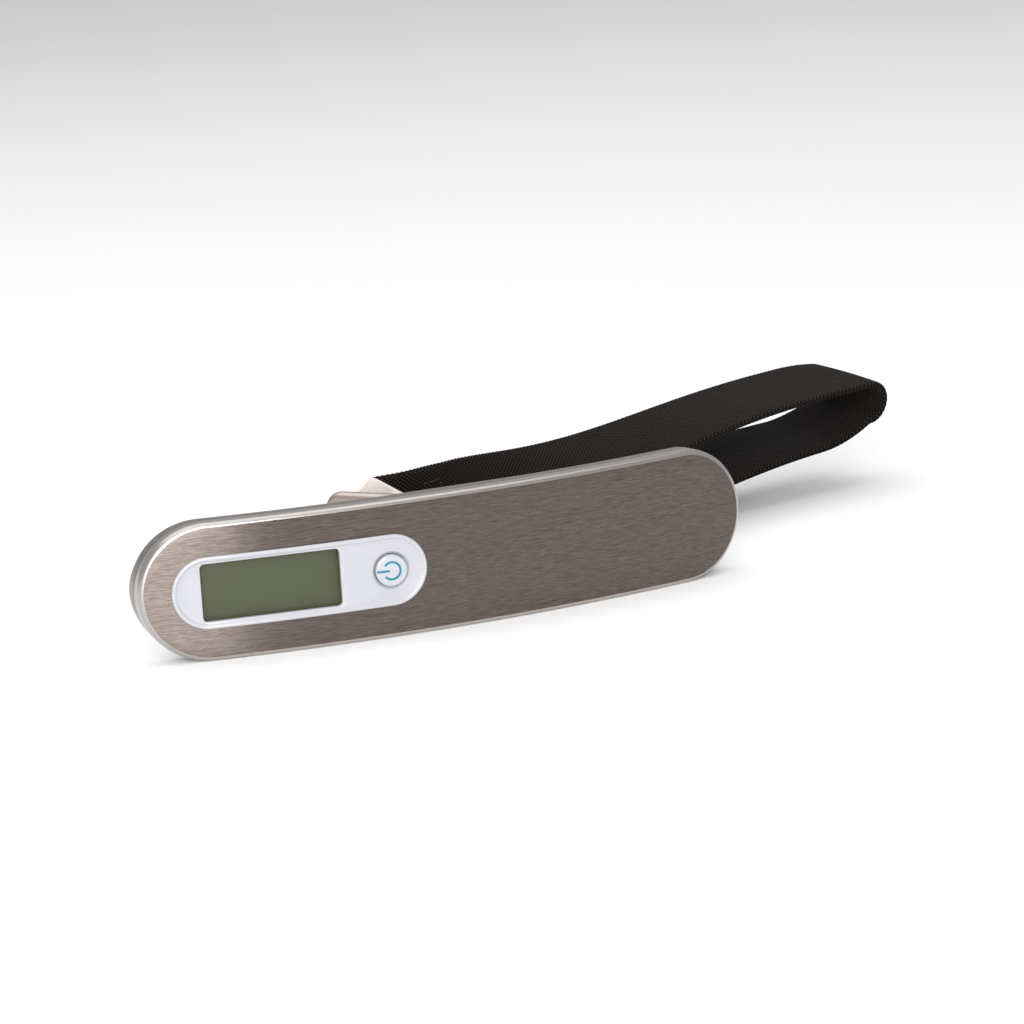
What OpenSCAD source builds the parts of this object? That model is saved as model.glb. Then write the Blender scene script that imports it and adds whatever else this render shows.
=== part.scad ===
// Digital luggage scale: a bowed hand grip with a display, and a webbing sling on a pull rod.
// X runs along the grip, -Y is out of the display face, +Z is up as it stands on its long edge.
// The origin is the middle of the flat long edge it stands on, under the middle of the face.

/* [Body] */
// chord length of the grip
body_l = 151; // [148:0.5:156]
// width of the grip, which is its height as it stands
body_w = 32; // [31.5:0.1:33]
// radius the display face is bowed to
bow_r = 322; // [310:1:340]
// depth of the straight band around the edge
band_d = 7; // [6.6:0.1:7.4]
// depth of the body at its middle
shell_d = 17; // [16.8:0.1:18]
// sheet thickness of the front plate
plate_t = 0.8; // [0.6:0.05:0.8]
// depth of the plate's folded rim
rim_d = 3.4; // [3.2:0.1:3.8]
// wall of the rear shell
wall = 1.5; // [1.3:0.1:1.5]

/* [Display] */
// distance of the bezel's middle from the middle of the face, along the bow
bezel_s = -39.2; // [-40:0.1:-39]
// length of the bezel
bezel_l = 59.3; // [58:0.1:60]
// width of the bezel
bezel_w = 16.7; // [16.4:0.1:17]
// length of the clear window
window_l = 32; // [30:0.5:32.5]
// width of the clear window
window_w = 13.3; // [12.5:0.1:13.4]
// middle of the window from the middle of the bezel
window_x = -6.9; // [-7.2:0.1:-6.5]
// middle of the button from the middle of the bezel
button_x = 21; // [20.7:0.1:21.2]
// radius of the button cap
button_r = 3.7; // [3.4:0.1:3.7]

/* [Sling] */
// width of the webbing
strap_w = 25; // [22:0.5:25.2]
// thickness of the webbing
strap_t = 1.6; // [1.2:0.1:1.6]
// where the sling's far bend starts, along X
strap_end = 143; // [135:1:150]
// how far the sling leads backwards, per unit of X
strap_slope = 0.24; // [0.2:0.01:0.3]
// the most that the gap between the two layers grows
belly = 12.5; // [6:0.5:13]
// length of the bail from the eye to its outer bar
bail_l = 24; // [23:0.5:26]
// angle the bail lies at, away from straight back
bail_turn = 42; // [36:1:46]

/* [Output] */
// which sub-part to draw

/* [Hidden] */
$fn = 64;
fine = 720;                       // steps round the large bow radii
gap = 0.05;                       // clearance between pieces that sit together
seam = 0.2;                       // open seam between the plate's rim and the shell

shell_l = body_l - 0.6;           // the shell sits just inside the plate's outline
shell_w = body_w - 0.6;
dome_h = shell_d - band_d;
dome_r = ((body_w / 2) * (body_w / 2) + dome_h * dome_h) / (2 * dome_h);
dome_y = shell_d - dome_r;
lip_t = 1.2;                      // wall of the shell's lip inside the plate's rim
frame_d = 2.6;                    // depth of the inner frame's back behind the face

// case screws: x, z, where the frame's post ends, where the head seats
post_y = 7;
screws = [[-70, 0, 12, 14.2], [-9, 10.5, post_y, 10.5], [-9, -10.5, post_y, 10.5],
          [49.5, 10.5, post_y, 10.5], [49.5, -10.5, post_y, 10.5]];
post_r = 2.6;
pillar_r = 3;
screw_r = 1;
head_r = 2.1;

// board stack, depths behind the face in the bezel's own frame
bezel_back = 2.4;
lcd_l = 35;
lcd_w = 14.8;
lcd_front = bezel_back + 0.45;    // the panel sits in a flat pocket in the bezel's bowed back
lcd_t = 1.8;
board_front = 5.2;
board_t = 1;
board_x0 = -23;
board_x1 = 25;
board_half = 10.4;
board_screws = [[-19, 9.3], [-19, -9.3], [15, 9.3], [15, -9.3]];
button_travel = 0.3;
button_back = 3.6;                // back of the cap, held in the bezel by a wing above and below
wing_t = 0.4;
cap_crown_r = 40;
cap_proud = 0.4;
mark_x = 0.8;                     // standby mark: its ring's middle, radius and line, and its bar's length
mark_r = 2.15;
mark_line = 0.5;
mark_bar = 3.5;
mark_y = -cap_proud - 0.05;
mark_depth = 0.6;

// load cell
bracket_t = 1.2;
bracket_y = post_y + gap;
cell_y0 = bracket_y + bracket_t + gap;
cell_t = 5.5;
cell_half = 5;
cell_x0 = -8;
cell_x1 = 47;
cell_screw_x = [34, 42];
gauge_x = [13, 23];
gauge_t = 0.3;
rod_r = 2.5;

// battery
coin_x = 60.2;
coin_r = 10;
coin_y = 10.7;
coin_t = 3.2;
door_r = 11.2;
door_y0 = 14.3;
door_t = 1.8;
tab_r = 12.1;                     // bayonet tabs of the door
tab_w = 6;
tab_y0 = 13.05;
tab_t = 1.1;
door_turn = 60;                   // the tabs come out through the slots at this turn
boss_r = 13.4;
boss_y1 = 16.2;
strip_y = 9;                      // front of the two contact strips
strip_t = 0.3;

// pull rod, bail and hook plate
eye_y = 25;
eye_r = 4.6;
eye_half = 2.5;
wire_r = 1.5;
bail_half = 9;
bail_corner = 3;
bar_x = -bail_l * sin(bail_turn);
bar_y = eye_y + bail_l * cos(bail_turn);
hook_t = 1.2;
hook_in = wire_r + 0.3;           // radius inside the curl, its half width and the length of its lip
curl_half = 5;
curl_lip = 2.2;
hook_y = bar_y + hook_in;         // front face of the hook plate
strap_y0 = hook_y + hook_t + strap_t / 2 + gap;
strap_x0 = -3;                    // the sling's folded end, flat on the hook plate
bend_x0 = 2;                      // it bends back between these
bend_x1 = 10;
root_z = -1.3;                    // height of its middle at the root, and how that changes along it
strap_rise = 14.5;
strap_wave = 1.7;
low_twist = 7;                    // extra lean of the lower layer, midway
end_lean = 8;                     // lean of the webbing at the far end, and how soon it is reached
lean_l = 40;
lean_power = 1.6;
root_gap = strap_t + 0.3;         // spacing of the layers at the root
part_x = 9;                       // they part from here, over this length
part_l = 58;
close_x = 127;                    // they close again from here, by this share
close = 0.35;
strap_steps = 60;
bend_steps = 12;
rivet_x = 0.5;
rivet_z = 5;
rivet_r = 1.4;
rivet_head_r = 2.3;
rivet_head_t = 0.8;
stitch_r = 0.2;
stitch_l = 2;
stitch_x0 = 9;
stitch_x1 = 15;
stitch_v = 8.6;

// ---- shared shapes ----

module at_mid() translate([0, 0, body_w / 2]) children();

module on_bow(s) translate([0, bow_r, 0]) rotate([0, 0, s / bow_r * 180 / PI])
    translate([0, -bow_r, 0]) children();

module stadium(l, w) {
    square([l - w, w], center = true);
    for (side = [-1, 1]) translate([side * (l - w) / 2, 0]) circle(d = w, $fn = 96);
}

module stadium_prism(l, w) rotate([90, 0, 0])
    linear_extrude(height = 80, center = true) stadium(l, w);

module rounded_prism(l, w, r) rotate([90, 0, 0])
    linear_extrude(height = 80, center = true) {
        square([l - 2 * r, w], center = true);
        square([l, w - 2 * r], center = true);
        for (i = [-1, 1], j = [-1, 1]) translate([i * (l / 2 - r), j * (w / 2 - r)]) circle(r = r);
    }

// everything behind a surface that lies d behind the face
module behind_bow(d) translate([0, bow_r, 0])
    cylinder(h = 100, r = bow_r - d, center = true, $fn = fine);

module bow_layer(d0, d1) difference() {
    behind_bow(d0);
    translate([0, bow_r, 0]) cylinder(h = 102, r = bow_r - d1, center = true, $fn = fine);
}

// a cylinder along +Y from y0 to y1
module along_y(x, z, y0, y1, r) translate([x, y0, z]) rotate([-90, 0, 0]) cylinder(h = y1 - y0, r = r);

module between(a, b, r) {
    d = b - a;
    l = norm(d);
    translate(a) rotate([0, acos(d[2] / l), atan2(d[1], d[0])]) cylinder(h = l, r = r, $fn = 32);
}

// a sleeved wire through points that lead towards -X, each ring square to the X axis
module wire(points, r) {
    n = len(points);
    k = 12;
    rings = [for (p = points, i = [0 : k - 1]) p + r * [0, cos(360 * i / k), -sin(360 * i / k)]];
    sides = [for (i = [0 : n - 2], j = [0 : k - 1]) each
        [[k * i + j, k * i + (j + 1) % k, k * i + k + (j + 1) % k],
         [k * i + j, k * i + k + (j + 1) % k, k * i + k + j]]];
    ends = [[for (j = [k - 1 : -1 : 0]) j], [for (j = [0 : k - 1]) k * (n - 1) + j]];
    polyhedron(points = rings, faces = concat(sides, ends), convexity = 4);
}

module dome(inset) translate([0, dome_y, 0]) rotate([0, 90, 0])
    cylinder(h = 2 * body_l, r = dome_r - inset, center = true, $fn = 180);

module shell_solid(inset) intersection() {
    stadium_prism(shell_l - 2 * inset, shell_w - 2 * inset);
    union() {
        bow_layer(rim_d + seam, band_d - inset);
        intersection() {
            dome(inset);
            behind_bow(rim_d + seam);
        }
    }
}

// ---- case ----

module front_plate() color("silver") at_mid() difference() {
    intersection() {
        stadium_prism(body_l, body_w);
        bow_layer(0, rim_d);
    }
    intersection() {
        stadium_prism(body_l - 2 * plate_t, body_w - 2 * plate_t);
        bow_layer(plate_t, rim_d + 1);
    }
    on_bow(bezel_s) intersection() {
        stadium_prism(bezel_l - 0.8, bezel_w - 0.8);
        bow_layer(-1, 2);
    }
}

module rear_shell() color("gray") at_mid() difference() {
    union() {
        difference() {
            union() {
                shell_solid(0);
                intersection() {
                    along_y(coin_x, 0, 9, boss_y1, boss_r);
                    behind_bow(band_d);
                }
            }
            shell_solid(wall);
            intersection() {
                stadium_prism(shell_l - 2 * wall, shell_w - 2 * wall);
                bow_layer(rim_d - 1, rim_d + 1);
            }
        }
        difference() {
            intersection() {
                stadium_prism(body_l - 2 * plate_t - 0.2, body_w - 2 * plate_t - 0.2);
                bow_layer(plate_t + 0.6, rim_d + 0.6);
            }
            stadium_prism(body_l - 2 * plate_t - 0.2 - 2 * lip_t, body_w - 2 * plate_t - 0.2 - 2 * lip_t);
        }
        for (s = screws) intersection() {
            along_y(s[0], s[1], s[2] + (s[0] > 0 ? bracket_t + 2 * gap : gap), shell_d, pillar_r);
            dome(0.2);
        }
    }
    for (s = screws) {
        along_y(s[0], s[1], s[3], shell_d + 1, head_r + 0.2);
        along_y(s[0], s[1], 0, s[3] + 1, screw_r + 0.1);
    }
    along_y(0, 0, 10, shell_d + 1, 3.6);
    along_y(coin_x, 0, 9, shell_d + 1, door_r + 0.08);
    along_y(coin_x, 0, 9, door_y0 - gap, tab_r + 0.2);
    translate([coin_x, 0, 0]) intersection() {
        rotate([0, door_turn, 0]) translate([0, 15, 0]) cube([2 * tab_r + 1, 4, tab_w + 0.4], center = true);
        along_y(0, 0, 12, shell_d + 1, tab_r + 0.2);
    }
}

module inner_frame() color("dimgray") at_mid() difference() {
    union() {
        intersection() {
            stadium_prism(body_l - 6, body_w - 6);
            bow_layer(plate_t + gap, frame_d);
        }
        for (s = screws) intersection() {
            along_y(s[0], s[1], 0, s[2], post_r);
            behind_bow(plate_t + gap);
        }
        on_bow(bezel_s) for (p = board_screws) along_y(p[0], p[1], 2, board_front - gap, 1.2);
    }
    on_bow(bezel_s) intersection() {
        stadium_prism(bezel_l + 0.4, bezel_w - 0.6);
        bow_layer(0, frame_d + 1);
    }
    for (s = screws) along_y(s[0], s[1], s[2] - 2.3, s[2] + 1, screw_r + 0.05);
    on_bow(bezel_s) for (p = board_screws) along_y(p[0], p[1], 2.4, board_front + 1, 0.65);
    along_y(0, 0, 1.6, 10, 4.5);
}

module case_screws() color("lightgray") at_mid() for (s = screws) difference() {
    union() {
        along_y(s[0], s[1], s[2] - 2.1, s[3] + 0.1, screw_r);
        along_y(s[0], s[1], s[3] + 0.02, s[3] + 1.5, head_r);
    }
    for (a = [0, 90]) translate([s[0], s[3] + 1.3, s[1]]) rotate([0, a, 0])
        cube([2.4, 1.2, 0.5], center = true);
}

// ---- display and button ----

module display_bezel() color("white") at_mid() on_bow(bezel_s) difference() {
    union() {
        intersection() {
            stadium_prism(bezel_l, bezel_w);
            bow_layer(-0.7, -0.03);
        }
        intersection() {
            stadium_prism(bezel_l - 1, bezel_w - 1);
            bow_layer(-0.2, bezel_back);
        }
    }
    intersection() {
        stadium_prism(bezel_l - 2.4, bezel_w - 2.4);
        bow_layer(-2, -0.3);
    }
    intersection() {
        translate([window_x, 0, 0]) rounded_prism(window_l, window_w, 0.8);
        bow_layer(-2, bezel_back + 1);
    }
    intersection() {
        translate([window_x, 0, 0]) rounded_prism(window_l + 1.6, window_w + 1.4, 0.8);
        bow_layer(0.6, bezel_back + 1);
    }
    translate([window_x - lcd_l / 2 - 0.15, lcd_front - gap, -lcd_w / 2 - 0.15])
        cube([lcd_l + 0.3, 3, lcd_w + 0.3]);
    along_y(button_x, 0, -2, 4, button_r + 0.1);
    along_y(button_x, 0, -2, 0.45, button_r + 0.65);
}

module lcd_window() color("lightblue", 0.4) at_mid() on_bow(bezel_s) intersection() {
    translate([window_x, 0, 0]) rounded_prism(window_l + 1.5, window_w + 1.3, 0.7);
    bow_layer(0.65, 1.65);
}

module lcd_panel() color("darkseagreen") at_mid() on_bow(bezel_s)
    translate([window_x - lcd_l / 2, lcd_front, -lcd_w / 2]) {
        cube([lcd_l, lcd_t / 2, lcd_w]);
        translate([0, lcd_t / 2, 1]) cube([lcd_l, lcd_t / 2, lcd_w - 1]);
    }

module lcd_connectors() color("black") at_mid() on_bow(bezel_s) for (z = [-6.9, 5.3])
    translate([window_x - lcd_l / 2 + 0.5, lcd_front + lcd_t + 0.02, z])
        cube([lcd_l - 1, board_front - lcd_front - lcd_t - 0.04, 1.6]);

module power_button() color("silver") at_mid() on_bow(bezel_s) {
    difference() {
        union() {
            along_y(button_x, 0, -0.1, button_back, button_r);
            intersection() {
                translate([button_x, cap_crown_r - cap_proud, 0]) sphere(r = cap_crown_r, $fn = 128);
                along_y(button_x, 0, -1, 0, button_r);
            }
            translate([button_x - 1, button_back - wing_t, -button_r - 0.9])
                cube([2, wing_t, 2 * button_r + 1.8]);
        }
        translate([button_x, mark_y, 0]) symbol(mark_depth);
    }
}

// the standby mark: three quarters of a ring, and a bar through the opening
module symbol(depth) rotate([90, 0, 0]) translate([0, 0, -depth]) linear_extrude(height = depth) {
    translate([mark_x, 0]) difference() {
        circle(r = mark_r + mark_line / 2);
        circle(r = mark_r - mark_line / 2);
        polygon([[0, 0], [-4, 3], [-4, -3]]);
    }
    translate([-mark_bar, -mark_line / 2]) square([mark_bar, mark_line]);
}

module power_symbol() color("deepskyblue") at_mid() on_bow(bezel_s)
    translate([button_x, mark_y, 0]) symbol(mark_depth - 0.02);

module tact_switch() color("black") at_mid() on_bow(bezel_s) {
    switch_front = button_back + button_travel + gap;
    translate([button_x - 3, switch_front + 0.35, -3]) cube([6, board_front - switch_front - 0.37, 6]);
    along_y(button_x, 0, switch_front, board_front - 0.5, 1.7);
}

module main_board() color("green") at_mid() on_bow(bezel_s) difference() {
    translate([board_x0, board_front, -board_half]) cube([board_x1 - board_x0, board_t, 2 * board_half]);
    for (p = board_screws) along_y(p[0], p[1], board_front - 1, board_front + 2, 0.65);
}

module board_chips() color("black") at_mid() on_bow(bezel_s) {
    chips_y = board_front + board_t + 0.02;
    intersection() {
        translate([-4, chips_y - 8.9, 0]) sphere(r = 10, $fn = 96);
        along_y(-4, 0, chips_y, chips_y + 2, 5);
    }
    translate([8, chips_y, -2.5]) cube([5, 1.1, 4]);
    translate([8, chips_y, 4]) cube([3, 0.8, 1.6]);
    for (i = [0 : 3]) translate([15 + 2.4 * i, chips_y, 1]) cube([1.2, 0.6, 2]);
}

module board_screws() color("lightgray") at_mid() on_bow(bezel_s) for (p = board_screws) {
    along_y(p[0], p[1], board_front - 2, board_front + board_t + 0.1, 0.6);
    along_y(p[0], p[1], board_front + board_t + 0.02, board_front + board_t + 0.7, 1.05);
}

// ---- weighing gear ----

module load_cell() color("silver") at_mid() difference() {
    translate([cell_x0, cell_y0, -cell_half]) cube([cell_x1 - cell_x0, cell_t, 2 * cell_half]);
    mid = cell_y0 + cell_t / 2;
    for (x = gauge_x) translate([x, mid, 0]) cylinder(h = 20, r = 2, center = true);
    translate([gauge_x[0], mid - 0.5, -10]) cube([gauge_x[1] - gauge_x[0], 1, 20]);
    along_y(0, 0, 0, 20, rod_r + 0.05);
    for (x = cell_screw_x) along_y(x, 0, 0, 20, 1.55);
}

module strain_gauges() color("orange") at_mid()
    for (x = gauge_x, y = [cell_y0 - gauge_t - 0.02, cell_y0 + cell_t + 0.02])
        translate([x - 2.5, y, -2]) cube([5, gauge_t, 4]);

module cell_bracket() color("slategray") at_mid() difference() {
    translate([28, bracket_y, -13]) cube([24.5, bracket_t, 26]);
    for (s = screws) along_y(s[0], s[1], 0, 20, screw_r + 0.1);
    for (x = cell_screw_x) along_y(x, 0, 0, 20, 1.55);
    along_y(coin_x, 0, 0, 20, 12.4);
}

module cell_screws() color("lightgray") at_mid() for (x = cell_screw_x) difference() {
    union() {
        along_y(x, 0, bracket_y + 0.1, cell_y0 + cell_t + 0.1, 1.5);
        along_y(x, 0, cell_y0 + cell_t + 0.02, cell_y0 + cell_t + 1.1, 2.6);
    }
    translate([x, cell_y0 + cell_t + 1.1, 0]) cube([3.2, 0.9, 0.6], center = true);
}

module cell_wires() color("red") at_mid() for (i = [0 : 3]) {
    y = cell_y0 + 0.7 + 1.1 * i;
    wire([[20, y, 5.9], [-12, y, 5.9], [-16.5 - i, 7.1, 5.9 - 1.6 * i]], 0.35);
}

module pull_rod() color("silver") at_mid() difference() {
    union() {
        along_y(0, 0, 4.2, eye_y - 2, rod_r);
        translate([0, eye_y, 0]) cylinder(h = 2 * eye_half, r = eye_r, center = true);
    }
    translate([0, eye_y, 0]) cylinder(h = 20, r = wire_r + 0.08, center = true);
}

module rod_nut() color("lightgray") at_mid() difference() {
    translate([0, cell_y0 - 3.05, 0]) rotate([-90, 0, 0]) cylinder(h = 3, r = 4.4, $fn = 6);
    along_y(0, 0, 0, 20, rod_r + 0.02);
}

module rod_grommet() color("black") at_mid() difference() {
    union() {
        along_y(0, 0, 14.6, shell_d + 0.9, 3.55);
        along_y(0, 0, shell_d + 0.05, shell_d + 0.9, 4.6);
    }
    along_y(0, 0, 10, 20, rod_r + 0.35);
}

// ---- bail, hook plate and sling ----

// a quarter ring in the YZ plane, from the +Y side round to the +Z side
module corner() rotate([90, 0, 90]) rotate_extrude(angle = 90)
    translate([bail_corner, 0]) circle(r = wire_r, $fn = 32);

// a round bar frame with rounded corners, its inner bar on the Z axis
module bail_frame() {
    straight = bail_half - bail_corner;
    for (y = [0, bail_l]) translate([0, y, 0]) cylinder(h = 2 * straight, r = wire_r, center = true);
    for (z = [-bail_half, bail_half]) translate([0, bail_corner, z]) rotate([-90, 0, 0])
        cylinder(h = bail_l - 2 * bail_corner, r = wire_r);
    translate([0, bail_l - bail_corner, straight]) corner();
    translate([0, bail_l - bail_corner, -straight]) rotate([-90, 0, 0]) corner();
    translate([0, bail_corner, straight]) rotate([90, 0, 0]) corner();
    translate([0, bail_corner, -straight]) rotate([180, 0, 0]) corner();
}

module bail() color("silver") at_mid() translate([0, eye_y, 0]) rotate([0, 0, bail_turn]) bail_frame();

// a plate whose end curls forwards round the bail's bar
module hook_plate() color("tan") at_mid() difference() {
    union() {
        translate([0, hook_y + hook_t, 0]) rotate([90, 0, 0]) linear_extrude(height = hook_t) hook_outline();
        translate([bar_x, bar_y, -curl_half]) difference() {
            cylinder(h = 2 * curl_half, r = hook_in + hook_t);
            translate([0, 0, -1]) cylinder(h = 2 * curl_half + 2, r = hook_in);
            translate([0, -10, -1]) cube([20, 20, 2 * curl_half + 2]);
        }
        translate([bar_x - 0.01, bar_y - hook_in - hook_t, -curl_half])
            cube([curl_lip, hook_t, 2 * curl_half]);
    }
    for (z = [-rivet_z, rivet_z]) along_y(rivet_x, z, hook_y - 1, hook_y + 4, rivet_r + 0.03);
}

module hook_outline() {
    polygon([[bar_x, 5], [-12.5, 5.6], [-6.2, 11.1], [-3.4, 11.3], [4.6, 5.9], [6.6, 3.4],
             [6.6, -3.4], [4.6, -5.9], [-3.4, -11.3], [-6.2, -11.1], [-12.5, -5.6], [bar_x, -5]]);
    for (z = [-1, 1]) translate([-4.75, z * 9.35]) circle(r = 2.3);
}

// the sling leads straight off the hook plate, bends back over a short length, then runs on at strap_slope
function ease(t) = t <= 0 ? 0 : t >= 1 ? 1 : t * t * (3 - 2 * t);
function run(x) = (x - strap_x0) / (strap_end - strap_x0);
function bent(x) = min(max((x - bend_x0) / (bend_x1 - bend_x0), 0), 1);
function lead(x) = bent(x) < 1 ? pow(bent(x), 2) * (bend_x1 - bend_x0) / 2 : x - (bend_x0 + bend_x1) / 2;
function height(x) = root_z + strap_rise * run(x) - strap_wave * sin(360 * run(x));
function top_centre(x) = [x, strap_y0 + strap_slope * lead(x), height(x)];
function heading(x) = [1, strap_slope * bent(x), 0] / norm([1, strap_slope * bent(x), 0]);

// the webbing stands on edge at the hook plate, and lies down towards end_lean as it goes
function lean(x) = end_lean + (90 - end_lean) * exp(-pow(max(x - bend_x0, 0) / lean_l, lean_power));
function across_at(x, a) = cross([0, 0, 1], heading(x)) * cos(a) + [0, 0, 1] * sin(a);
function across(x) = across_at(x, lean(x));
function upward(x) = cross(heading(x), across(x));
function low_across(x) = across_at(x, lean(x) + low_twist * pow(sin(180 * run(x)), 2));

// the two layers part behind the plate, and close again a little before the far bend
function run_out(x) = max((x - close_x) / (strap_end - close_x), 0);
function layer_gap(x) = root_gap + belly * ease((x - part_x) / part_l) * (1 - close * pow(run_out(x), 2));
end_gap = layer_gap(strap_end);

// stations: centre, width direction, outward normal of the webbing
function station_x(i) = strap_x0 + (strap_end - strap_x0) * i / strap_steps;
function top_run() = [for (i = [0 : strap_steps]) let (x = station_x(i))
    [top_centre(x), across(x), upward(x)]];
function far_bend() =
    let (h = heading(strap_end), w = across(strap_end), n = upward(strap_end), r = end_gap / 2,
         c = top_centre(strap_end) - n * r)
    [for (i = [1 : bend_steps - 1]) let (a = 180 * i / bend_steps, out = n * cos(a) + h * sin(a))
        [c + out * r, w, out]];
function low_run() = [for (i = [strap_steps : -1 : 0]) let (x = station_x(i), w = low_across(x))
    [top_centre(x) - upward(x) * layer_gap(x), w, -cross(heading(x), w)]];

function ring(s) = [for (c = [[-1, -1], [1, -1], [1, 1], [-1, 1]])
    s[0] + s[1] * c[0] * strap_w / 2 + s[2] * c[1] * strap_t / 2];

module ribbon(stations) {
    n = len(stations);
    points = [for (s = stations) each ring(s)];
    sides = [for (i = [0 : n - 2], k = [0 : 3]) each
        [[4 * i + k, 4 * i + (k + 1) % 4, 4 * i + 4 + (k + 1) % 4],
         [4 * i + k, 4 * i + 4 + (k + 1) % 4, 4 * i + 4 + k]]];
    caps = [[0, 3, 2], [0, 2, 1], [4 * n - 4, 4 * n - 3, 4 * n - 2], [4 * n - 4, 4 * n - 2, 4 * n - 1]];
    polyhedron(points = points, faces = concat(sides, caps), convexity = 6);
}

module strap() color("black") at_mid() ribbon(concat(top_run(), far_bend(), low_run()));

// tubular rivets through the plate and both layers of webbing
module strap_rivets() color("tan") at_mid() for (z = [-rivet_z, rivet_z]) {
    back = strap_y0 + root_gap + strap_t / 2 + gap;
    along_y(rivet_x, z, hook_y - rivet_head_t, back + rivet_head_t, rivet_r);
    along_y(rivet_x, z, hook_y - rivet_head_t, hook_y - 0.02, rivet_head_r);
    along_y(rivet_x, z, back, back + rivet_head_t, rivet_head_r);
}

// a stitch lies half sunk in the webbing's outer face
function on_top(x, v) = top_centre(x) + across(x) * v + upward(x) * (strap_t / 2 + stitch_r / 2);
module stitch(x0, v0, x1, v1) between(on_top(x0, v0), on_top(x1, v1), stitch_r);

// a box of stitches: two rows across the webbing, joined by a row along each side
module strap_stitching() color("gray") at_mid() {
    for (x = [stitch_x0, stitch_x1], i = [-4 : 3])
        stitch(x, stitch_l * i + 0.4, x, stitch_l * (i + 1) - 0.2);
    for (v = [-stitch_v, stitch_v], i = [0 : 2])
        stitch(stitch_x0 + stitch_l * i + 0.4, v, stitch_x0 + stitch_l * (i + 1) - 0.3, v);
}

// ---- battery ----

module coin_cell() color("silver") at_mid() {
    along_y(coin_x, 0, coin_y, coin_y + 0.5, coin_r - 1);
    along_y(coin_x, 0, coin_y + 0.5, coin_y + coin_t, coin_r);
}

// a strip on the frame's back, with a tongue that springs up against the cell
module contact_minus() color("gold") at_mid() {
    translate([coin_x - 9, strip_y, -3]) cube([12, strip_t, 6]);
    translate([coin_x, 0, -1.5]) linear_extrude(height = 3)
        polygon([[-3, strip_y + 0.1], [2, coin_y - strip_t - gap],
                 [2, coin_y - gap], [-3.2, strip_y + strip_t]]);
}

module contact_plus() color("gold") at_mid() {
    translate([coin_x - 3, strip_y, coin_r + 0.15]) cube([6, 3.8, strip_t]);
    translate([coin_x - 3, strip_y, coin_r + 0.15]) cube([6, strip_t, 1.6]);
}

module battery_wires() color("black") at_mid() {
    wire([[51, 9.6, -3.4], [47.5, 9.6, -5.9], [-12, 9.6, -5.9], [-17, 7.1, -5.9]], 0.35);
    wire([[51, 10.9, -4.6], [47.5, 10.9, -5.9], [-12, 10.9, -5.9], [-18, 7.1, -3.9]], 0.35);
}

// a round door with a skirt, two bayonet tabs on the skirt and a coin slot
module battery_door() color("gray") at_mid() difference() {
    union() {
        along_y(coin_x, 0, tab_y0, door_y0 + door_t, door_r);
        translate([coin_x, 0, 0]) intersection() {
            translate([0, tab_y0 + tab_t / 2, 0]) cube([2 * tab_r + 1, tab_t, tab_w], center = true);
            along_y(0, 0, 12, 16, tab_r);
        }
    }
    along_y(coin_x, 0, 12, door_y0, door_r - 1);
    translate([coin_x, door_y0 + door_t, 0]) cube([12, 1.6, 1.8], center = true);
}

front_plate();
rear_shell();
inner_frame();
case_screws();
display_bezel();
lcd_window();
lcd_panel();
lcd_connectors();
power_button();
power_symbol();
tact_switch();
main_board();
board_chips();
board_screws();
load_cell();
strain_gauges();
cell_bracket();
cell_screws();
cell_wires();
pull_rod();
rod_nut();
rod_grommet();
bail();
hook_plate();
strap();
strap_rivets();
strap_stitching();
coin_cell();
contact_minus();
contact_plus();
battery_wires();
battery_door();
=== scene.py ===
"""Looks of the digital luggage scale: face plate, bezel, button, case, hook plate and sling."""

import math

import bmesh
import bpy
import numpy as np
from mathutils import Matrix, Vector
from mathutils.geometry import delaunay_2d_cdt


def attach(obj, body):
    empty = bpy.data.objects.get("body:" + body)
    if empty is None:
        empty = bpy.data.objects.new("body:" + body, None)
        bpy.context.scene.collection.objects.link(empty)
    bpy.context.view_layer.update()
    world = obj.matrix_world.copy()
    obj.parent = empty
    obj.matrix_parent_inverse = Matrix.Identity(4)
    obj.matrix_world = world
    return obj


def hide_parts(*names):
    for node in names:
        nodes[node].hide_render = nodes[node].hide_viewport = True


MM = 0.001

# driving sizes, in millimetres and degrees

# grip and face plate
BODY_L = 151.0
BODY_W = 32.0
BOW_R = 322.0               # radius of the face's bow
RIM_D = 3.4                 # depth of the plate's folded rim
PLATE_T = 0.8
EDGE_R = 1.3                # rounding between face and rim
RIM_HIGHLIGHT_FROM = 0.04             # the rim takes the lighter steel from this depth: a painted highlight along the edge

# bezel, window and button, placed from the bezel's middle
BEZEL_S = -39.2             # distance of the bezel's middle along the bow
BEZEL_L = 59.3
BEZEL_W = 16.7
BEZEL_FLOOR = -0.30         # depth of the bezel's flat, which stands proud of the face
LIP_W = 1.3                 # width of the raised lip round it
WINDOW_L = 32.0
WINDOW_W = 13.3
WINDOW_X = -6.9
WINDOW_CORNER = 1.0
BUTTON_X = 21.0
BUTTON_R = 3.7
DISH_R = 4.35               # the shallow dish round the cap
CAP_CROWN_R = 40.0          # dome of the cap's front
CAP_PROUD = 0.4
CAP_DOME = 0.93             # share of the cap's radius that the dome takes
MARK_X = 0.0
MARK_R = 2.0
MARK_LINE = 0.56
MARK_BAR = (-3.5, -0.55)    # the bar's two ends
MARK_ARC = 142              # the broken ring's half angle

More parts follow.
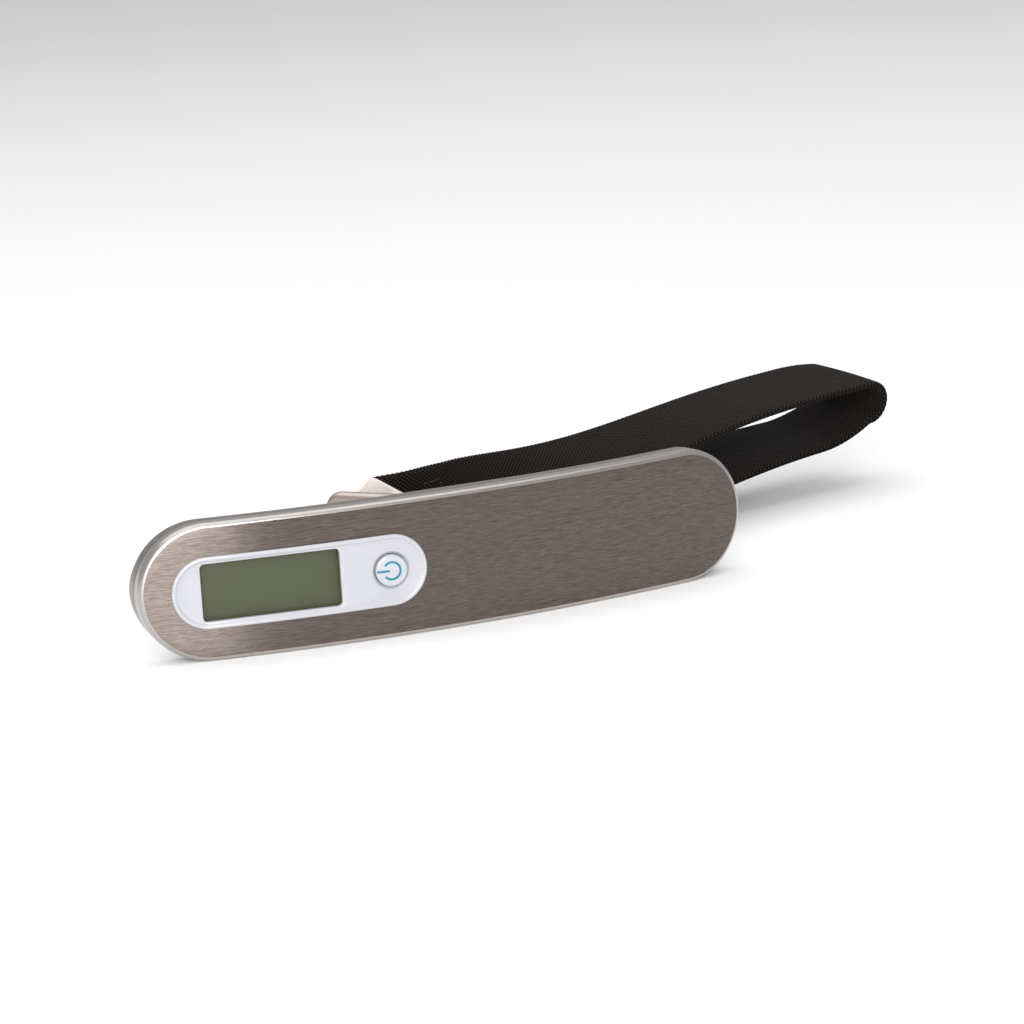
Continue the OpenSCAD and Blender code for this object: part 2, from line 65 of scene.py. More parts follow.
# sling
STRAP_W = 25.0
STRAP_T = 1.6
STRAP_X0 = -3.0             # its folded end, on the hook plate
STRAP_END = 143.0
STRAP_Y0 = 46.685
STRAP_SLOPE = 0.24          # how fast it runs away from the case
BEND_X0 = 2.0               # it bends back between these
BEND_X1 = 10.0
ROOT_Z = -1.3               # height of its middle, and how that changes along it
STRAP_RISE = 14.5
STRAP_WAVE = 1.7
END_LEAN = 8.0              # lean at the far end, and how soon it is reached
LEAN_L = 40.0
LEAN_POWER = 1.6
ROOT_GAP = STRAP_T + 0.3    # spacing of the layers at the root, and how much wider it gets
BELLY = 12.5
LOW_TWIST = 7.0             # extra lean of the lower layer, midway
PART_X = 9.0                # the layers part from here, over this length
PART_L = 58.0
CLOSE_X = 127.0             # they close again from here, by this share
CLOSE = 0.35
SAG = 1.8                   # the far back corner hangs by this, from here, over this length
SAG_FROM = 131.0
SAG_L = 16.0
WARP_PITCH = 1.0            # the weave
PICK_PITCH = 1.3
STEP = 0.375                # spacing of the mesh along the webbing
ACROSS_STEPS = 48
SCALLOP = 0.12              # how far the picks show at the webbing's edges

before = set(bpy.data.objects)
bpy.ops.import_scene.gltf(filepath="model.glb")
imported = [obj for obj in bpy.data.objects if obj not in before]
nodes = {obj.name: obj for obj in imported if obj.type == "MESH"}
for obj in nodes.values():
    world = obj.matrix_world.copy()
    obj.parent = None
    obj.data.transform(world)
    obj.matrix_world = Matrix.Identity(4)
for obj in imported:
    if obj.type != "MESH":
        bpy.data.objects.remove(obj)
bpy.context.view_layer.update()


# ---- materials ----

def new_material(name):
    """An empty principled material, its node tree and its shader."""
    mat = bpy.data.materials.new(name)
    mat.use_nodes = True
    tree = mat.node_tree
    return mat, tree, tree.nodes["Principled BSDF"]


def set_inputs(shader, **values):
    for key, value in values.items():
        shader.inputs[key.replace("_", " ")].default_value = value


def object_coords(tree, scale):
    """Row-frame position, stretched by scale."""
    coords = tree.nodes.new("ShaderNodeTexCoord")
    mapping = tree.nodes.new("ShaderNodeMapping")
    mapping.inputs["Scale"].default_value = scale
    tree.links.new(coords.outputs["Object"], mapping.inputs["Vector"])
    return mapping.outputs["Vector"]


def noise(tree, vector, scale, detail=3.0, rough=0.6):
    node = tree.nodes.new("ShaderNodeTexNoise")
    node.inputs["Scale"].default_value = scale
    node.inputs["Detail"].default_value = detail
    node.inputs["Roughness"].default_value = rough
    tree.links.new(vector, node.inputs["Vector"])
    return node.outputs["Fac"]


def ramp(tree, fac, low, high, start=0.3, end=0.7):
    """Colour between low and high as fac goes from start to end."""
    node = tree.nodes.new("ShaderNodeValToRGB")
    node.color_ramp.elements[0].position = start
    node.color_ramp.elements[0].color = (*low, 1)
    node.color_ramp.elements[1].position = end
    node.color_ramp.elements[1].color = (*high, 1)
    tree.links.new(fac, node.inputs["Fac"])
    return node.outputs["Color"]


def remap(tree, fac, low, high):
    node = tree.nodes.new("ShaderNodeMapRange")
    node.inputs["To Min"].default_value = low
    node.inputs["To Max"].default_value = high
    tree.links.new(fac, node.inputs["Value"])
    return node.outputs["Result"]


def add_bump(tree, shader, height, strength, distance):
    bump = tree.nodes.new("ShaderNodeBump")
    bump.inputs["Strength"].default_value = strength
    bump.inputs["Distance"].default_value = distance
    tree.links.new(height, bump.inputs["Height"])
    tree.links.new(bump.outputs["Normal"], shader.inputs["Normal"])


def mix(tree, a, b, share):
    """a * (1 - share) + b * share"""
    first = tree.nodes.new("ShaderNodeMath")
    first.operation = "MULTIPLY"
    first.inputs[1].default_value = 1 - share
    second = tree.nodes.new("ShaderNodeMath")
    second.operation = "MULTIPLY_ADD"
    second.inputs[1].default_value = share
    tree.links.new(a, first.inputs[0])
    tree.links.new(b, second.inputs[0])
    tree.links.new(first.outputs[0], second.inputs[2])
    return second.outputs[0]


def brushed(name, low, high, rough, anisotropy):
    """Metal with fine short lines along X, which spread its reflections up and down."""
    mat, tree, shader = new_material(name)
    set_inputs(shader, Metallic=1.0, Anisotropic=anisotropy, Anisotropic_Rotation=0.25)
    lines = noise(tree, object_coords(tree, (190.0, 600.0, 6000.0)), 1.0, 3.0, 0.75)
    dashes = noise(tree, object_coords(tree, (420.0, 600.0, 3600.0)), 1.0, 2.0, 0.5)
    grain = mix(tree, lines, dashes, 0.35)
    tree.links.new(ramp(tree, grain, low, high, 0.36, 0.64), shader.inputs["Base Color"])
    tree.links.new(remap(tree, lines, rough - 0.05, rough + 0.06), shader.inputs["Roughness"])
    add_bump(tree, shader, grain, 0.3, 0.00002)
    tangent = tree.nodes.new("ShaderNodeTangent")
    tangent.direction_type = "UV_MAP"
    tree.links.new(tangent.outputs["Tangent"], shader.inputs["Tangent"])
    return mat


def metal(name, colour, rough, spread=0.04, grain=900.0, metallic=1.0):
    mat, tree, shader = new_material(name)
    set_inputs(shader, Metallic=metallic)
    fac = noise(tree, object_coords(tree, (1, 1, 1)), grain)
    low = tuple(c * 0.93 for c in colour)
    tree.links.new(ramp(tree, fac, low, colour), shader.inputs["Base Color"])
    tree.links.new(remap(tree, fac, rough - spread, rough + spread), shader.inputs["Roughness"])
    return mat


def plastic(name, colour, rough, grain=1500.0, bump=0.05, coat=0.0):
    mat, tree, shader = new_material(name)
    set_inputs(shader, Metallic=0.0, Coat_Weight=coat, Coat_Roughness=0.08)
    fac = noise(tree, object_coords(tree, (1, 1, 1)), grain)
    low = tuple(c * 0.95 for c in colour)
    tree.links.new(ramp(tree, fac, low, colour), shader.inputs["Base Color"])
    tree.links.new(remap(tree, fac, rough - 0.03, rough + 0.04), shader.inputs["Roughness"])
    add_bump(tree, shader, fac, bump, 0.00002)
    return mat


def clear_window(name):
    """A clear pane: mostly see-through, with a faint sheen."""
    mat, tree, shader = new_material(name)
    set_inputs(shader, Metallic=0.0, Alpha=0.05, IOR=1.49)
    fac = noise(tree, object_coords(tree, (1, 1, 1)), 60.0)
    tint = ramp(tree, fac, (0.08, 0.092, 0.055), (0.095, 0.108, 0.066))
    tree.links.new(tint, shader.inputs["Base Color"])
    tree.links.new(remap(tree, fac, 0.06, 0.10), shader.inputs["Roughness"])
    return mat


def wave(tree, value, pitch):
    """cos(2 pi value / pitch)"""
    scaled = tree.nodes.new("ShaderNodeMath")
    scaled.operation = "MULTIPLY"
    scaled.inputs[1].default_value = 2 * math.pi / pitch
    tree.links.new(value, scaled.inputs[0])
    cosine = tree.nodes.new("ShaderNodeMath")
    cosine.operation = "COSINE"
    tree.links.new(scaled.outputs[0], cosine.inputs[0])
    return cosine.outputs[0]


def webbing(name):
    """Black woven webbing: a fine checker of warp and pick, in millimetres on the UV map."""
    mat, tree, shader = new_material(name)
    set_inputs(shader, Metallic=0.0, Sheen_Weight=0.02, Sheen_Roughness=0.5,
               Specular_IOR_Level=0.04)
    uv = tree.nodes.new("ShaderNodeUVMap")
    split = tree.nodes.new("ShaderNodeSeparateXYZ")
    tree.links.new(uv.outputs["UV"], split.inputs[0])
    warp = wave(tree, split.outputs["Y"], WARP_PITCH)
    picks = wave(tree, split.outputs["X"], PICK_PITCH)
    weave = tree.nodes.new("ShaderNodeMath")
    weave.operation = "MULTIPLY"
    tree.links.new(warp, weave.inputs[0])
    tree.links.new(picks, weave.inputs[1])
    fibres = noise(tree, object_coords(tree, (1, 1, 1)), 3500.0)
    height = mix(tree, weave.outputs[0], fibres, 0.45)
    # the colour follows the weave's height: the yarn's own pattern, with painted shade in the low spots
    # and lighter raised yarn
    level = remap_range(tree, height, -0.3, 0.8)
    lit = ramp(tree, level, (0.0008, 0.0006, 0.0005),
               (0.034, 0.026, 0.022), 0.3, 1.0)
    tree.links.new(lit, shader.inputs["Base Color"])
    tree.links.new(remap(tree, fibres, 0.6, 0.8), shader.inputs["Roughness"])
    add_bump(tree, shader, height, 0.9, 0.0002)
    return mat


def remap_range(tree, value, low, high):
    """value from low..high to 0..1"""
    node = tree.nodes.new("ShaderNodeMapRange")
    node.inputs["From Min"].default_value = low
    node.inputs["From Max"].default_value = high
    tree.links.new(value, node.inputs["Value"])
    return node.outputs["Result"]


face_steel = brushed("brushed_face", (0.104, 0.084, 0.075), (0.218, 0.183, 0.166), 0.26, 1.0)
# a lighter copy of the steel for the folded rim: a painted highlight along the plate's edge
rim_highlight_steel = metal("rim_highlight_steel", (0.48, 0.45, 0.43), 0.30)
silver_paint = metal("silver_paint", (0.30, 0.275, 0.26), 0.36)
dark_plastic = plastic("dark_plastic", (0.03, 0.03, 0.032), 0.45)
white_plastic = plastic("white_plastic", (0.41, 0.41, 0.445), 0.25, coat=0.6)
window_clear = clear_window("window_clear")
lcd_glass = plastic("lcd_glass", (0.049, 0.058, 0.024), 0.5, bump=0.0)
rubber = plastic("dark_rubber", (0.03, 0.03, 0.03), 0.7)
button_silver = plastic("button_silver", (0.40, 0.42, 0.455), 0.25, coat=0.8)
symbol_blue = plastic("symbol_blue", (0.001, 0.15, 0.225), 0.35)
board_green = plastic("board_green", (0.02, 0.16, 0.06), 0.4)
screw_steel = metal("screw_steel", (0.62, 0.62, 0.63), 0.32)
cell_aluminium = metal("cell_aluminium", (0.78, 0.79, 0.80), 0.35)
gauge_amber = plastic("gauge_amber", (0.60, 0.25, 0.04), 0.4)
wire_red = plastic("wire_red", (0.45, 0.02, 0.02), 0.45)
nickel = metal("satin_nickel", (0.95, 0.87, 0.81), 0.45, metallic=0.5)
bail_steel = metal("bail_steel", (0.50, 0.43, 0.39), 0.35)
contact_metal = metal("contact_metal", (0.80, 0.68, 0.42), 0.3)
webbing_black = webbing("webbing_black")
thread = plastic("thread", (0.011, 0.009, 0.008), 0.8)

CAD_LOOKS = {
    "front_plate": face_steel, "rear_shell": silver_paint, "inner_frame": dark_plastic,
    "case_screws": screw_steel, "display_bezel": white_plastic, "lcd_window": window_clear,
    "lcd_panel": lcd_glass, "lcd_connectors": rubber, "power_button": button_silver,
    "power_symbol": symbol_blue, "tact_switch": dark_plastic, "main_board": board_green,
    "board_chips": dark_plastic, "board_screws": screw_steel, "load_cell": cell_aluminium,
    "strain_gauges": gauge_amber, "cell_bracket": screw_steel, "cell_screws": screw_steel,
    "cell_wires": wire_red, "pull_rod": screw_steel, "rod_nut": screw_steel, "rod_grommet": rubber,
    "bail": bail_steel, "hook_plate": nickel, "strap": webbing_black, "strap_rivets": nickel,
    "strap_stitching": thread, "coin_cell": screw_steel, "contact_minus": contact_metal,
    "contact_plus": contact_metal, "battery_wires": dark_plastic, "battery_door": silver_paint,
}
for node_name, look in CAD_LOOKS.items():
    nodes[node_name].data.materials.clear()
    nodes[node_name].data.materials.append(look)


# ---- shapes ----

def make_mesh(name, verts, faces, material, smooth_angle=40, uvs=None):
    """verts in millimetres with z measured from the table; faces as index lists"""
    mesh = bpy.data.meshes.new(name)
    mesh.from_pydata([Vector(v) * MM for v in verts], [], faces)
    if uvs is not None:
        layer = mesh.uv_layers.new(name="UVMap")
        index = np.zeros(len(mesh.loops), np.int32)
        mesh.loops.foreach_get("vertex_index", index)
        layer.data.foreach_set("uv", np.asarray(uvs, np.float32)[index].ravel())
    obj = bpy.data.objects.new(name, mesh)
    bpy.context.scene.collection.objects.link(obj)
    bm = bmesh.new()
    bm.from_mesh(mesh)
    bmesh.ops.remove_doubles(bm, verts=bm.verts, dist=0.002 * MM)
    bmesh.ops.recalc_face_normals(bm, faces=bm.faces)
    bm.to_mesh(mesh)
    bm.free()
    mesh.polygons.foreach_set("use_smooth", [True] * len(mesh.polygons))
    mesh.set_sharp_from_angle(angle=math.radians(smooth_angle))
    mesh.materials.append(material)
    return obj


def bowed(x, z, depth):
    """The point at x and z that lies depth behind the bowed face, z from the grip's centre line."""
    return (x, BOW_R - math.sqrt((BOW_R - depth) ** 2 - x * x), z)


def on_bow(point, s):
    """Swings a point near the middle of the face to distance s along the bow."""
    turn = s / BOW_R
    x, y = point[0], point[1] - BOW_R
    return (x * math.cos(turn) - y * math.sin(turn),
            BOW_R + x * math.sin(turn) + y * math.cos(turn), point[2])


def lift(points):
    """From centre-line height to height above the table."""
    return [(p[0], p[1], p[2] + BODY_W / 2) for p in points]


def stadium_loop(length, width, inset=0.0, arc_steps=32, straight_steps=44):
    """Points round a stadium, the same count and order at every inset."""
    r = width / 2 - inset
    cx = (length - width) / 2
    loop = []
    for i in range(straight_steps):
        loop.append((-cx + 2 * cx * i / straight_steps, -r))
    for i in range(arc_steps):
        a = -math.pi / 2 + math.pi * i / arc_steps
        loop.append((cx + r * math.cos(a), r * math.sin(a)))
    for i in range(straight_steps):
        loop.append((cx - 2 * cx * i / straight_steps, r))
    for i in range(arc_steps):
        a = math.pi / 2 + math.pi * i / arc_steps
        loop.append((-cx + r * math.cos(a), r * math.sin(a)))
    return loop


def rounded_loop(length, width, corner, cx=0.0, steps=6):
    """Points round a rectangle with rounded corners."""
    loop = []
    for qx, qz, a0 in ((1, -1, -90), (1, 1, 0), (-1, 1, 90), (-1, -1, 180)):
        for i in range(steps + 1):
            a = math.radians(a0 + 90 * i / steps)
            loop.append((cx + qx * (length / 2 - corner) + corner * math.cos(a),
                         qz * (width / 2 - corner) + corner * math.sin(a)))
    return loop


def circle_loop(r, cx=0.0, steps=48):
    turns = [2 * math.pi * i / steps for i in range(steps)]
    return [(cx + r * math.cos(a), r * math.sin(a)) for a in turns]


def strips(rings, closed=True, base=0):
    """Quads between rings of equal length."""
    n = len(rings[0])
    faces = []
    for i in range(len(rings) - 1):
        for k in range(n if closed else n - 1):
            j = (k + 1) % n
            near = base + i * n
            faces.append((near + k, near + j, near + n + j, near + n + k))
    return faces


def inside(loop, x, z):
    """Whether the point is inside the closed loop."""
    hit = False
    for (x0, z0), (x1, z1) in zip(loop, loop[1:] + loop[:1]):
        if (z0 > z) != (z1 > z) and x < (x1 - x0) * (z - z0) / (z1 - z0) + x0:
            hit = not hit
    return hit


def fill(outer, holes, step):
    """A flat fill between a loop and the holes in it: points and triangles, fine enough to bow."""
    xs = [p[0] for p in outer]
    zs = [p[1] for p in outer]
    verts = list(outer)
    edges = [(i, (i + 1) % len(outer)) for i in range(len(outer))]
    for hole in holes:
        base = len(verts)
        verts += hole
        edges += [(base + i, base + (i + 1) % len(hole)) for i in range(len(hole))]
    fixed = np.array(verts)
    x = min(xs) + step / 2
    while x < max(xs):
        z = min(zs) + step / 2
        while z < max(zs):
            near = np.min(np.hypot(fixed[:, 0] - x, fixed[:, 1] - z))
            if near > step * 0.6 and inside(outer, x, z) and not any(inside(h, x, z) for h in holes):
                verts.append((x, z))
            z += step
        x += step
    out, _, faces, *_ = delaunay_2d_cdt([Vector(v) for v in verts], edges, [], 0, 1e-6)
    keep = []
    for f in faces:
        cx = sum(out[i][0] for i in f) / len(f)
        cz = sum(out[i][1] for i in f) / len(f)
        if inside(outer, cx, cz) and not any(inside(h, cx, cz) for h in holes):
            keep.append(tuple(f))
    return [(v[0], v[1]) for v in out], keep


class Build:
    """Collects points and faces of one piece."""

    def __init__(self):
        self.verts = []
        self.faces = []

    def add(self, verts, faces):
        base = len(self.verts)
        self.verts += verts
        self.faces += [tuple(base + i for i in f) for f in faces]

    def rings(self, rings, closed=True):
        self.add([p for ring in rings for p in ring], strips(rings, closed))


# ---- front plate ----

def rounded_edge(r, steps=8):
    """(inset, depth) pairs round the plate's front edge, side first."""
    return [(r - r * math.cos(a), r - r * math.sin(a))
            for a in (math.pi / 2 * i / steps for i in range(steps + 1))]


def build_plate():
    """The skin: folded rim from its inner edge round to the face, and the face with the bezel's hole."""
    build = Build()
    profile = [(1.4, RIM_D - 0.35), (PLATE_T, RIM_D - 0.05), (PLATE_T * 0.5, RIM_D),
               (0.1, RIM_D - 0.08), (0, RIM_D - 0.3)]
    profile += rounded_edge(EDGE_R)
    rings = [[bowed(x, z, d) for x, z in stadium_loop(BODY_L, BODY_W, inset)] for inset, d in profile]
    build.rings(rings)
    hole = [on_bow(bowed(x, z, 0), BEZEL_S) for x, z in stadium_loop(BEZEL_L, BEZEL_W, 0.3)]
    hole_flat = [(p[0], p[2]) for p in hole]
    flat, faces = fill(stadium_loop(BODY_L, BODY_W, EDGE_R), [hole_flat], 2.5)
    build.add([bowed(x, z, 0) for x, z in flat], faces)
    lip = [on_bow(bowed(x, z, 0.5), BEZEL_S) for x, z in stadium_loop(BEZEL_L, BEZEL_W, 0.3)]
    build.rings([hole, lip])
    uvs = [(v[0] * 0.01, v[2] * 0.01) for v in build.verts]
    obj = make_mesh("face_plate", lift(build.verts), build.faces, face_steel, 50, uvs)
    # faces of the folded rim take the lighter steel, a painted highlight along the edge
    obj.data.materials.append(rim_highlight_steel)
    for polygon in obj.data.polygons:
        x, y, z = (c / MM for c in polygon.center)
        depth = y - bowed(x, z, 0)[1]
        polygon.material_index = 1 if depth > RIM_HIGHLIGHT_FROM else 0
    return obj


# ---- bezel, window and button ----

def local(points):
    """Bezel-frame points, swung to their place on the bow and lifted."""
    return lift([on_bow(p, BEZEL_S) for p in points])


def build_bezel():
    """The frame: raised lip, flat with the window's opening, and the dish and hole of the button."""
    build = Build()
    # (inset from the outline, depth), from the buried side over the lip to the flat
    lip = [(0.5, 1.2), (0.12, 0.4), (0.02, -0.1), (0.0, -0.32), (0.10, -0.56), (0.30, -0.69),
           (0.55, -0.70), (0.82, -0.64), (1.02, -0.50), (1.14, -0.36), (1.24, -0.32)]
    build.rings([[bowed(x, z, d) for x, z in stadium_loop(BEZEL_L, BEZEL_W, inset)] for inset, d in lip])
    window = [rounded_loop(WINDOW_L + 2 * e, WINDOW_W + 2 * e, WINDOW_CORNER + e, WINDOW_X)
              for e in (0.25, 0.08, 0, 0)]
    window_d = [BEZEL_FLOOR, BEZEL_FLOOR + 0.06, BEZEL_FLOOR + 0.28, 0.68]
    # (radius, depth)
    dish = [(DISH_R + 0.25, BEZEL_FLOOR), (DISH_R + 0.05, BEZEL_FLOOR + 0.05),
            (DISH_R - 0.1, BEZEL_FLOOR + 0.28), (BUTTON_R + 0.22, BEZEL_FLOOR + 0.48),
            (BUTTON_R + 0.1, BEZEL_FLOOR + 0.75), (BUTTON_R + 0.1, 1.6)]
    holes = [window[0], circle_loop(dish[0][0], BUTTON_X)]
    flat, faces = fill(stadium_loop(BEZEL_L, BEZEL_W, lip[-1][0]), holes, 2.0)
    flat_edge = stadium_loop(BEZEL_L, BEZEL_W, LIP_W)
    points = []
    for x, z in flat:
        depth = BEZEL_FLOOR if inside(flat_edge, x, z) else lip[-1][1]
        points.append(bowed(x, z, depth))
    build.add(points, faces)
    build.rings([[bowed(x, z, d) for x, z in loop] for loop, d in zip(window, window_d)])
    build.rings([[bowed(x, z, d) for x, z in circle_loop(r, BUTTON_X)] for r, d in dish])
    return make_mesh("bezel", local(build.verts), build.faces, white_plastic, 40)


def cap_height(r):
    """Depth of the button's domed front at radius r."""
    return r * r / (2 * CAP_CROWN_R) - CAP_PROUD


def build_button():
    """The cap: a shallow dome, a rounded shoulder and the side that goes down the hole."""
    build = Build()
    rings = []
    dome_r = BUTTON_R * CAP_DOME
    for r in [0.02] + [dome_r * i / 14 for i in range(1, 15)]:
        rings.append([(BUTTON_X + x, cap_height(r), z) for x, z in circle_loop(r)])
    # (share of the cap's radius, drop from the dome's edge)
    shoulder = [(0.955, 0.05), (0.985, 0.14), (1.0, 0.32), (1.0, 2.1)]
    edge_d = cap_height(dome_r)
    for share, drop in shoulder:
        rings.append([(BUTTON_X + x, edge_d + drop, z) for x, z in circle_loop(BUTTON_R * share)])
    build.rings(rings)
    return make_mesh("button_cap", local(build.verts), build.faces, button_silver, 50)


def build_symbol():
    """The standby mark, its opening and bar towards the window."""
    build = Build()
    half = MARK_LINE / 2
    sides = ((half, -0.05), (half - 0.04, 0.035), (0.04 - half, 0.035), (-half, -0.05))

    def on_cap(x, z, up):
        return (BUTTON_X + x, cap_height(math.hypot(x, z)) - up, z)

    def on_ring(a, off, up):
        return on_cap(MARK_X + (MARK_R + off) * math.cos(a), (MARK_R + off) * math.sin(a), up)

    arc = [math.radians(a) for a in np.linspace(-MARK_ARC, MARK_ARC, 60)]
    build.rings([[on_ring(a, off, up) for off, up in sides] for a in arc], closed=False)
    bar = np.linspace(MARK_BAR[0], MARK_BAR[1], 9)
    build.rings([[on_cap(x, off, up) for off, up in sides] for x in bar], closed=False)
    return make_mesh("button_mark", local(build.verts), build.faces, symbol_blue, 60)


# ---- sling ----

def ease(t):
    t = min(max(t, 0.0), 1.0)
    return t * t * (3 - 2 * t)


UP = Vector((0, 0, 1))


def run(x):
    """Share of the sling's length reached at x."""
    return (x - STRAP_X0) / (STRAP_END - STRAP_X0)


def bent(x):
    """Share of the bend behind the hook plate reached at x."""
    return min(max((x - BEND_X0) / (BEND_X1 - BEND_X0), 0.0), 1.0)


def lead(x):
    """Length over which the slope has acted at x."""
    if bent(x) < 1:
        return bent(x) ** 2 * (BEND_X1 - BEND_X0) / 2
    return x - (BEND_X0 + BEND_X1) / 2


def top_centre(x):
    z = ROOT_Z + STRAP_RISE * run(x) - STRAP_WAVE * math.sin(2 * math.pi * run(x))
    return Vector((x, STRAP_Y0 + STRAP_SLOPE * lead(x), z))


def heading(x):
    return Vector((1, STRAP_SLOPE * bent(x), 0)).normalized()


def across(x, extra=0.0):
    """Width direction: on edge at the hook plate, lying down towards the far end."""
    share = math.exp(-((max(x - BEND_X0, 0) / LEAN_L) ** LEAN_POWER))
    lean = math.radians(END_LEAN + (90 - END_LEAN) * share + extra)
    return UP.cross(heading(x)) * math.cos(lean) + UP * math.sin(lean)


def upward(x, extra=0.0):
    return heading(x).cross(across(x, extra))


def low_twist(x):
    """How many degrees more the lower layer leans than the upper one."""
    return LOW_TWIST * math.sin(math.pi * run(x)) ** 2


def layer_gap(x):
    """Spacing of the two layers: none to speak of at the root, most midway, a little less at the end."""
    run_out = max((x - CLOSE_X) / (STRAP_END - CLOSE_X), 0)
    return ROOT_GAP + BELLY * ease((x - PART_X) / PART_L) * (1 - CLOSE * run_out ** 2)


def strap_path():
    """(centre, width direction, outward normal) along the whole sling."""
    xs = np.linspace(STRAP_X0, STRAP_END, 120)
    path = [(top_centre(x), across(x), upward(x)) for x in xs]
    r = layer_gap(STRAP_END) / 2
    normal = upward(STRAP_END)
    centre = top_centre(STRAP_END) - normal * r
    for a in np.linspace(0, math.pi, 26)[1:-1]:
        out = normal * math.cos(a) + heading(STRAP_END) * math.sin(a)
        path.append((centre + out * r, across(STRAP_END), out))
    for x in xs[::-1]:
        twist = low_twist(x)
        path.append((top_centre(x) - upward(x) * layer_gap(x), across(x, twist), -upward(x, twist)))
    return path


def resample(path, spacing):
    """The same path at even spacing along its centre line."""
    centres = np.array([p[0][:] for p in path])
    steps = np.linalg.norm(np.diff(centres, axis=0), axis=1)
    along = np.concatenate([[0], np.cumsum(steps)])
    count = int(along[-1] / spacing)
    even = np.linspace(0, along[-1], count)
    columns = []
    for part in range(3):
        values = np.array([p[part][:] for p in path])
        columns.append(np.stack([np.interp(even, along, values[:, k]) for k in range(3)], axis=1))
    for part in (1, 2):
        columns[part] /= np.linalg.norm(columns[part], axis=1)[:, None]
    return even, columns


def build_strap():
    """Webbing with a rounded edge that the picks scallop."""
    even, (centre, side, normal) = resample(strap_path(), STEP)
    n = len(even)
    section = []
    for i in range(ACROSS_STEPS + 1):
        section.append((-1 + 2 * i / ACROSS_STEPS, 1))
    for i in range(ACROSS_STEPS, -1, -1):
        section.append((-1 + 2 * i / ACROSS_STEPS, -1))
    v = np.array([s[0] for s in section])
    face = np.array([s[1] for s in section])
    half = STRAP_W / 2 - SCALLOP
    scallop = SCALLOP * np.cos(2 * math.pi * even / PICK_PITCH)[:, None]
    edge = np.clip((np.abs(v) - 0.93) / 0.07, 0, 1)[None, :]
    width = v[None, :] * half + np.sign(v)[None, :] * scallop * edge
    thick = (STRAP_T / 2 - 0.03) * np.sqrt(np.clip(1 - edge ** 2, 0.0, 1))
    points = (centre[:, None, :] + side[:, None, :] * width[:, :, None]
              + normal[:, None, :] * (face[None, :] * thick)[:, :, None])
    near_end = np.clip((centre[:, 0] - SAG_FROM) / SAG_L, 0, 1)[:, None]
    points[:, :, 2] += BODY_W / 2 - SAG * near_end ** 2 * ((v[None, :] + 1) / 2) ** 2
    count = len(section)
    idx = np.arange(n * count).reshape(n, count)
    a = idx[:-1, :]
    b = np.roll(idx, -1, axis=1)[:-1, :]
    c = np.roll(idx, -1, axis=1)[1:, :]
    d = idx[1:, :]
    quads = np.stack([a, b, c, d], axis=-1).reshape(-1, 4)
    faces = quads.tolist() + [list(range(count))[::-1], list(range((n - 1) * count, n * count))]
    uvs = np.stack([np.repeat(even[:, None], count, axis=1), width], axis=-1).reshape(-1, 2)
    mesh = bpy.data.meshes.new("sling")
    mesh.from_pydata((points.reshape(-1, 3) * MM).tolist(), [], faces)
    layer = mesh.uv_layers.new(name="UVMap")
    index = np.zeros(len(mesh.loops), np.int32)
    mesh.loops.foreach_get("vertex_index", index)
    layer.data.foreach_set("uv", uvs.astype(np.float32)[index].ravel())
    mesh.polygons.foreach_set("use_smooth", [True] * len(mesh.polygons))
    obj = bpy.data.objects.new("sling", mesh)
    bpy.context.scene.collection.objects.link(obj)
    bm = bmesh.new()
    bm.from_mesh(mesh)
    bmesh.ops.recalc_face_normals(bm, faces=bm.faces)
    bm.to_mesh(mesh)
    bm.free()
    mesh.materials.append(webbing_black)
    return obj, float(even[-1])


# ---- pieces softened from their solids ----

def softened(node_name, piece_name, width, material, segments=3, angle=28):
    """A copy of a solid with its sharp edges rounded."""
    source = nodes[node_name]
    mesh = source.data.copy()
    mesh.name = piece_name
    obj = bpy.data.objects.new(piece_name, mesh)
    bpy.context.scene.collection.objects.link(obj)
    bm = bmesh.new()
    bm.from_mesh(mesh)
    bmesh.ops.remove_doubles(bm, verts=bm.verts, dist=0.004 * MM)
    bmesh.ops.dissolve_limit(bm, angle_limit=math.radians(0.6), verts=bm.verts, edges=bm.edges)
    bm.to_mesh(mesh)
    bm.free()
    bevel = obj.modifiers.new("soft", "BEVEL")
    bevel.width = width * MM
    bevel.segments = segments
    bevel.limit_method = "ANGLE"
    bevel.angle_limit = math.radians(angle)
    bevel.harden_normals = True
    mesh.polygons.foreach_set("use_smooth", [True] * len(mesh.polygons))
    mesh.materials.clear()
    mesh.materials.append(material)
    return obj


# (piece, body it rides on, node it replaces, slot)
FACE_PIECES = [
    (build_plate(), "body", "front_plate", "face_steel"),
    (build_bezel(), "body", "display_bezel", "white_plastic"),
    (build_button(), "button", "power_button", "button_silver"),
    (build_symbol(), "button", "power_symbol", "symbol_blue"),
]
for piece, rides_on, node_name, slot_name in FACE_PIECES:
    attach(piece, rides_on)
    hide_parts(node_name)

sling, sling_length = build_strap()
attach(sling, "sling")
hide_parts("strap")

# (node, piece, body it rides on, bevel width, material, slot)
SOFTENED = [
    ("hook_plate", "hook_plate_soft", "sling", 0.3, nickel, "satin_nickel"),
    ("strap_rivets", "rivets_soft", "sling", 0.3, nickel, "satin_nickel"),
    ("rear_shell", "shell_soft", "body", 0.3, silver_paint, "silver_shell"),
    ("battery_door", "door_soft", "battery_door", 0.3, silver_paint, "silver_shell"),
    ("pull_rod", "rod_soft", "body", 0.3, screw_steel, "screw_steel"),
]
for node_name, piece_name, rides_on, width, look, slot_name in SOFTENED:
    piece = softened(node_name, piece_name, width, look)
    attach(piece, rides_on)
    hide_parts(node_name)


# ---- stage ----

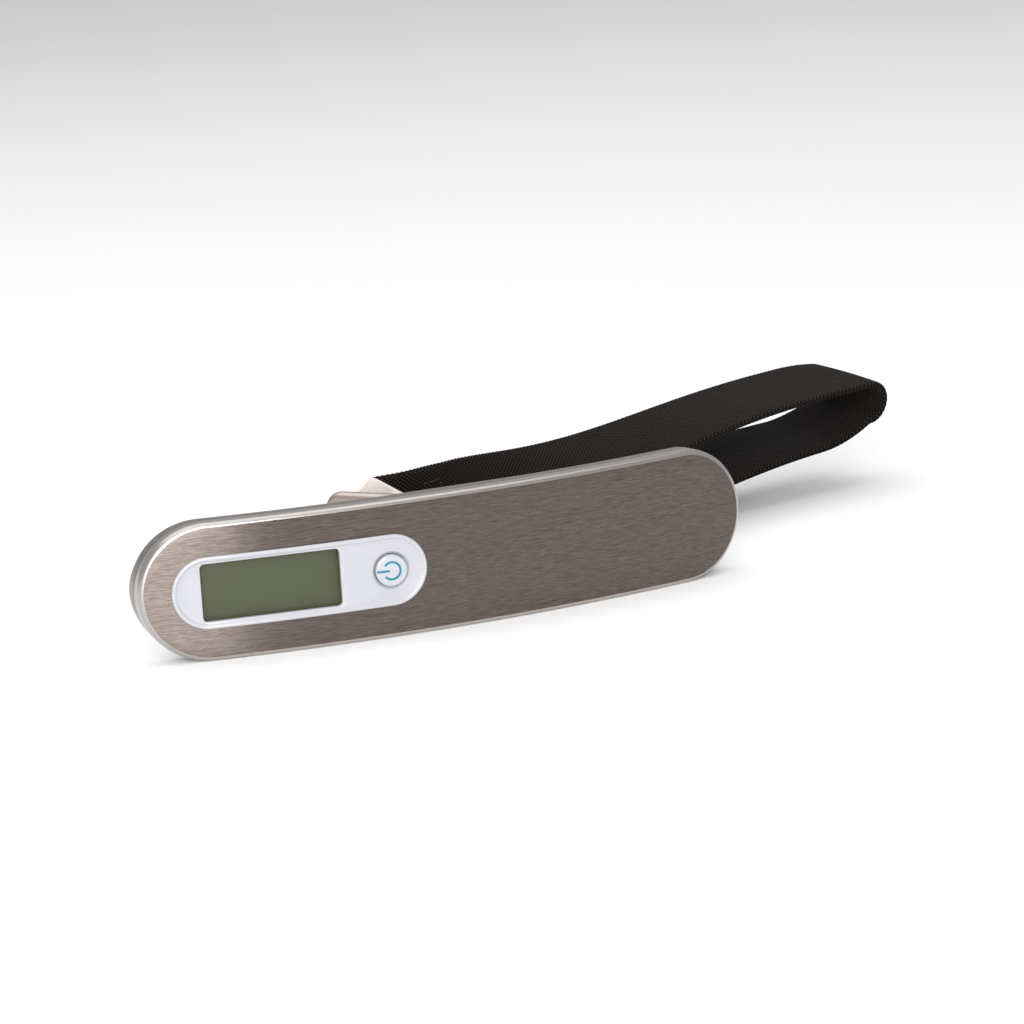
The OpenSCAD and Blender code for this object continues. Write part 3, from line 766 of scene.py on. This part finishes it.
def build_floor():
    mesh = bpy.data.meshes.new("floor")
    half = 6.0
    corners = [(-half, -half, 0), (half, -half, 0), (half, half, 0), (-half, half, 0)]
    mesh.from_pydata(corners, [], [(0, 1, 2, 3)])
    obj = bpy.data.objects.new("floor", mesh)
    bpy.context.scene.collection.objects.link(obj)
    mat, tree, shader = new_material("floor_white")
    fac = noise(tree, object_coords(tree, (1, 1, 1)), 2.0)
    tree.links.new(ramp(tree, fac, (0.90, 0.90, 0.90), (0.91, 0.91, 0.91)), shader.inputs["Base Color"])
    tree.links.new(remap(tree, fac, 0.85, 0.9), shader.inputs["Roughness"])
    mesh.materials.append(mat)
    return obj


def area_light(name, place, target, size_x, size_y, power, colour=(1, 1, 1)):
    data = bpy.data.lights.new(name, "AREA")
    data.shape = "RECTANGLE"
    data.size = size_x
    data.size_y = size_y
    data.energy = power
    data.color = colour
    obj = bpy.data.objects.new(name, data)
    obj.location = place
    obj.rotation_euler = (Vector(target) - Vector(place)).to_track_quat("-Z", "Y").to_euler()
    bpy.context.scene.collection.objects.link(obj)
    return obj


build_floor()
world = bpy.data.worlds.new("studio")
world.use_nodes = True
background = world.node_tree.nodes["Background"]
background.inputs["Color"].default_value = (1, 1, 1, 1)
background.inputs["Strength"].default_value = 0.55
bpy.context.scene.world = world
bpy.context.scene.view_settings.view_transform = "Standard"
area_light("overhead", (-0.2, 0.1, 1.4), (0, 0.03, 0), 1.9, 1.9, 14.0)
area_light("left_card", (-0.84, -1.5, 0.62), (-0.84, 0, 0.62), 1.50, 1.2, 44.0)

# the camera: where it stands, and how it is turned right, tipped down and rolled, in degrees
CAMERA_PLACE = (-282.23, -700.86, 198.03)
CAMERA_YAW = 22.794
CAMERA_DOWN = 12.809
CAMERA_ROLL = -3.461
camera_data = bpy.data.cameras.new("camera")
camera_data.lens = 119.1
camera_data.sensor_width = 36.0
camera_data.clip_start = 0.01
camera = bpy.data.objects.new("camera", camera_data)
turn = (Matrix.Rotation(math.radians(-CAMERA_YAW), 4, "Z")
        @ Matrix.Rotation(math.radians(90 - CAMERA_DOWN), 4, "X")
        @ Matrix.Rotation(math.radians(CAMERA_ROLL), 4, "Z"))
camera.matrix_world = Matrix.Translation(Vector(CAMERA_PLACE) * MM) @ turn
bpy.context.scene.collection.objects.link(camera)
bpy.context.scene.camera = camera
